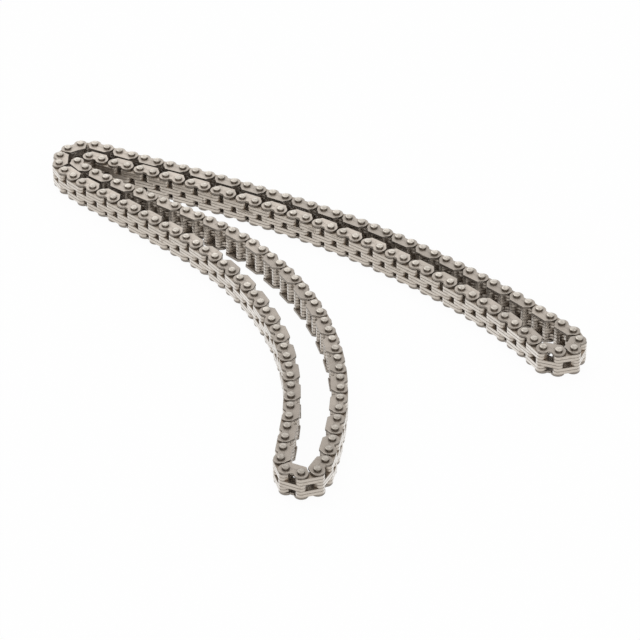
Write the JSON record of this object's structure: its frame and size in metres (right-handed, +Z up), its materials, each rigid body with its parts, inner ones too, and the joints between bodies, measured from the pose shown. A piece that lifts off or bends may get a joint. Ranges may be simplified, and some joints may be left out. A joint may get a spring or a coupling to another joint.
{
  "type": "timing chain",
  "caption": "Endless silent timing chain of toothed link plates on riveted pins between guide plates, laid on its side in two folded arms.",
  "frame": {"origin": "on the floor under the middle of the loop's bounding box", "axes": "+Z up along the pins, +X to the viewer's right, +Y away from the viewer; the chain rests on the heads of its pins at z = 0"},
  "size_m": [0.2242, 0.2346, 0.0132],
  "materials": {
    "guide_plates": "satin, slightly warm",
    "link_plates": "satin, slightly darker",
    "pins": "satin, polished crown"
  },
  "bodies": {
    "bends": {"guide_plates_outer_bend": "guide_plates", "link_plates_outer_bend": "link_plates", "pins_outer_bend": "pins", "guide_plates_inner_bend": "guide_plates", "link_plates_inner_bend": "link_plates", "pins_inner_bend": "pins"},
    "upper_back_1": {"guide_plates_upper_back_1": "guide_plates", "link_plates_upper_back_1": "link_plates", "pins_upper_back_1": "pins"},
    "upper_back_2": {"guide_plates_upper_back_2": "guide_plates", "link_plates_upper_back_2": "link_plates", "pins_upper_back_2": "pins"},
    "upper_back_3": {"guide_plates_upper_back_3": "guide_plates", "link_plates_upper_back_3": "link_plates", "pins_upper_back_3": "pins"},
    "upper_back_4": {"guide_plates_upper_back_4": "guide_plates", "link_plates_upper_back_4": "link_plates", "pins_upper_back_4": "pins"},
    "upper_back_5": {"guide_plates_upper_back_5": "guide_plates", "link_plates_upper_back_5": "link_plates", "pins_upper_back_5": "pins"},
    "right_tip": {"guide_plates_right_tip": "guide_plates", "link_plates_right_tip": "link_plates", "pins_right_tip": "pins"},
    "upper_front_5": {"guide_plates_upper_front_5": "guide_plates", "link_plates_upper_front_5": "link_plates", "pins_upper_front_5": "pins"},
    "upper_front_4": {"guide_plates_upper_front_4": "guide_plates", "link_plates_upper_front_4": "link_plates", "pins_upper_front_4": "pins"},
    "upper_front_3": {"guide_plates_upper_front_3": "guide_plates", "link_plates_upper_front_3": "link_plates", "pins_upper_front_3": "pins"},
    "upper_front_2": {"guide_plates_upper_front_2": "guide_plates", "link_plates_upper_front_2": "link_plates", "pins_upper_front_2": "pins"},
    "upper_front_1": {"guide_plates_upper_front_1": "guide_plates", "link_plates_upper_front_1": "link_plates", "pins_upper_front_1": "pins"},
    "lower_inner_1": {"guide_plates_lower_inner_1": "guide_plates", "link_plates_lower_inner_1": "link_plates", "pins_lower_inner_1": "pins"},
    "lower_inner_2": {"guide_plates_lower_inner_2": "guide_plates", "link_plates_lower_inner_2": "link_plates", "pins_lower_inner_2": "pins"},
    "lower_inner_3": {"guide_plates_lower_inner_3": "guide_plates", "link_plates_lower_inner_3": "link_plates", "pins_lower_inner_3": "pins"},
    "front_tip": {"guide_plates_front_tip": "guide_plates", "link_plates_front_tip": "link_plates", "pins_front_tip": "pins"},
    "lower_outer_3": {"guide_plates_lower_outer_3": "guide_plates", "link_plates_lower_outer_3": "link_plates", "pins_lower_outer_3": "pins"},
    "lower_outer_2": {"guide_plates_lower_outer_2": "guide_plates", "link_plates_lower_outer_2": "link_plates", "pins_lower_outer_2": "pins"},
    "lower_outer_1": {"guide_plates_lower_outer_1": "guide_plates", "link_plates_lower_outer_1": "link_plates", "pins_lower_outer_1": "pins"}
  },
  "joints": [
    {"name": "upper_back_1_pivot", "type": "hinge", "parent": "bends", "child": "upper_back_1", "pos_m": [-0.06017, 0.09705, 0.00658], "axis": [0, 0, 1], "range_deg": [-12, 3]},
    {"name": "upper_back_2_pivot", "type": "hinge", "parent": "upper_back_1", "child": "upper_back_2", "pos_m": [-0.01482, 0.07419, 0.00658], "axis": [0, 0, 1], "range_deg": [-3, 12]},
    {"name": "upper_back_3_pivot", "type": "hinge", "parent": "upper_back_2", "child": "upper_back_3", "pos_m": [0.00723, 0.06158, 0.00658], "axis": [0, 0, 1], "range_deg": [-15, 8]},
    {"name": "upper_back_4_pivot", "type": "hinge", "parent": "upper_back_3", "child": "upper_back_4", "pos_m": [0.04855, 0.03211, 0.00658], "axis": [0, 0, 1], "range_deg": [-8, 15]},
    {"name": "upper_back_5_pivot", "type": "hinge", "parent": "upper_back_4", "child": "upper_back_5", "pos_m": [0.06757, 0.01528, 0.00658], "axis": [0, 0, 1], "range_deg": [-30, 8]},
    {"name": "right_tip_pivot", "type": "hinge", "parent": "upper_back_5", "child": "right_tip", "pos_m": [0.09021, -0.00696, 0.00658], "axis": [0, 0, 1], "range_deg": [-8, 30]},
    {"name": "upper_front_1_pivot", "type": "hinge", "parent": "bends", "child": "upper_front_1", "pos_m": [-0.07312, 0.09366, 0.00658], "axis": [0, 0, 1], "range_deg": [-12, 3]},
    {"name": "upper_front_2_pivot", "type": "hinge", "parent": "upper_front_1", "child": "upper_front_2", "pos_m": [-0.02776, 0.0708, 0.00658], "axis": [0, 0, 1], "range_deg": [-3, 12]},
    {"name": "upper_front_3_pivot", "type": "hinge", "parent": "upper_front_2", "child": "upper_front_3", "pos_m": [-0.00571, 0.0582, 0.00658], "axis": [0, 0, 1], "range_deg": [-15, 8]},
    {"name": "upper_front_4_pivot", "type": "hinge", "parent": "upper_front_3", "child": "upper_front_4", "pos_m": [0.0356, 0.02873, 0.00658], "axis": [0, 0, 1], "range_deg": [-8, 15]},
    {"name": "upper_front_5_pivot", "type": "hinge", "parent": "upper_front_4", "child": "upper_front_5", "pos_m": [0.04533, 0.02057, 0.00658], "axis": [0, 0, 1], "range_deg": [-30, 8]},
    {"name": "lower_outer_1_pivot", "type": "hinge", "parent": "bends", "child": "lower_outer_1", "pos_m": [-0.03795, 0.02665, 0.00658], "axis": [0, 0, 1], "range_deg": [-25, 15]},
    {"name": "lower_outer_2_pivot", "type": "hinge", "parent": "lower_outer_1", "child": "lower_outer_2", "pos_m": [-0.01363, -0.01769, 0.00658], "axis": [0, 0, 1], "range_deg": [-15, 25]},
    {"name": "lower_outer_3_pivot", "type": "hinge", "parent": "lower_outer_2", "child": "lower_outer_3", "pos_m": [-0.00981, -0.02979, 0.00658], "axis": [0, 0, 1], "range_deg": [-40, 30]},
    {"name": "front_tip_pivot", "type": "hinge", "parent": "lower_outer_3", "child": "front_tip", "pos_m": [-0.00584, -0.0802, 0.00658], "axis": [0, 0, 1], "range_deg": [-30, 40]},
    {"name": "lower_inner_1_pivot", "type": "hinge", "parent": "bends", "child": "lower_inner_1", "pos_m": [-0.0185, 0.03151, 0.00658], "axis": [0, 0, 1], "range_deg": [-25, 15]},
    {"name": "lower_inner_2_pivot", "type": "hinge", "parent": "lower_inner_1", "child": "lower_inner_2", "pos_m": [0.00582, -0.01283, 0.00658], "axis": [0, 0, 1], "range_deg": [-15, 25]},
    {"name": "lower_inner_3_pivot", "type": "hinge", "parent": "lower_inner_2", "child": "lower_inner_3", "pos_m": [0.00932, -0.02503, 0.00658], "axis": [0, 0, 1], "range_deg": [-40, 30]}
  ],
  "couplings": [
    {"joint": "upper_back_2_pivot", "follows": "upper_back_1_pivot", "ratio": -1},
    {"joint": "upper_back_4_pivot", "follows": "upper_back_3_pivot", "ratio": -1},
    {"joint": "right_tip_pivot", "follows": "upper_back_5_pivot", "ratio": -1},
    {"joint": "upper_front_1_pivot", "follows": "upper_back_1_pivot", "ratio": 1},
    {"joint": "upper_front_2_pivot", "follows": "upper_back_1_pivot", "ratio": -1},
    {"joint": "upper_front_3_pivot", "follows": "upper_back_3_pivot", "ratio": 1},
    {"joint": "upper_front_4_pivot", "follows": "upper_back_3_pivot", "ratio": -1},
    {"joint": "upper_front_5_pivot", "follows": "upper_back_5_pivot", "ratio": 1},
    {"joint": "lower_outer_2_pivot", "follows": "lower_outer_1_pivot", "ratio": -1},
    {"joint": "front_tip_pivot", "follows": "lower_outer_3_pivot", "ratio": -1},
    {"joint": "lower_inner_1_pivot", "follows": "lower_outer_1_pivot", "ratio": 1},
    {"joint": "lower_inner_2_pivot", "follows": "lower_outer_1_pivot", "ratio": -1},
    {"joint": "lower_inner_3_pivot", "follows": "lower_outer_3_pivot", "ratio": 1}
  ]
}
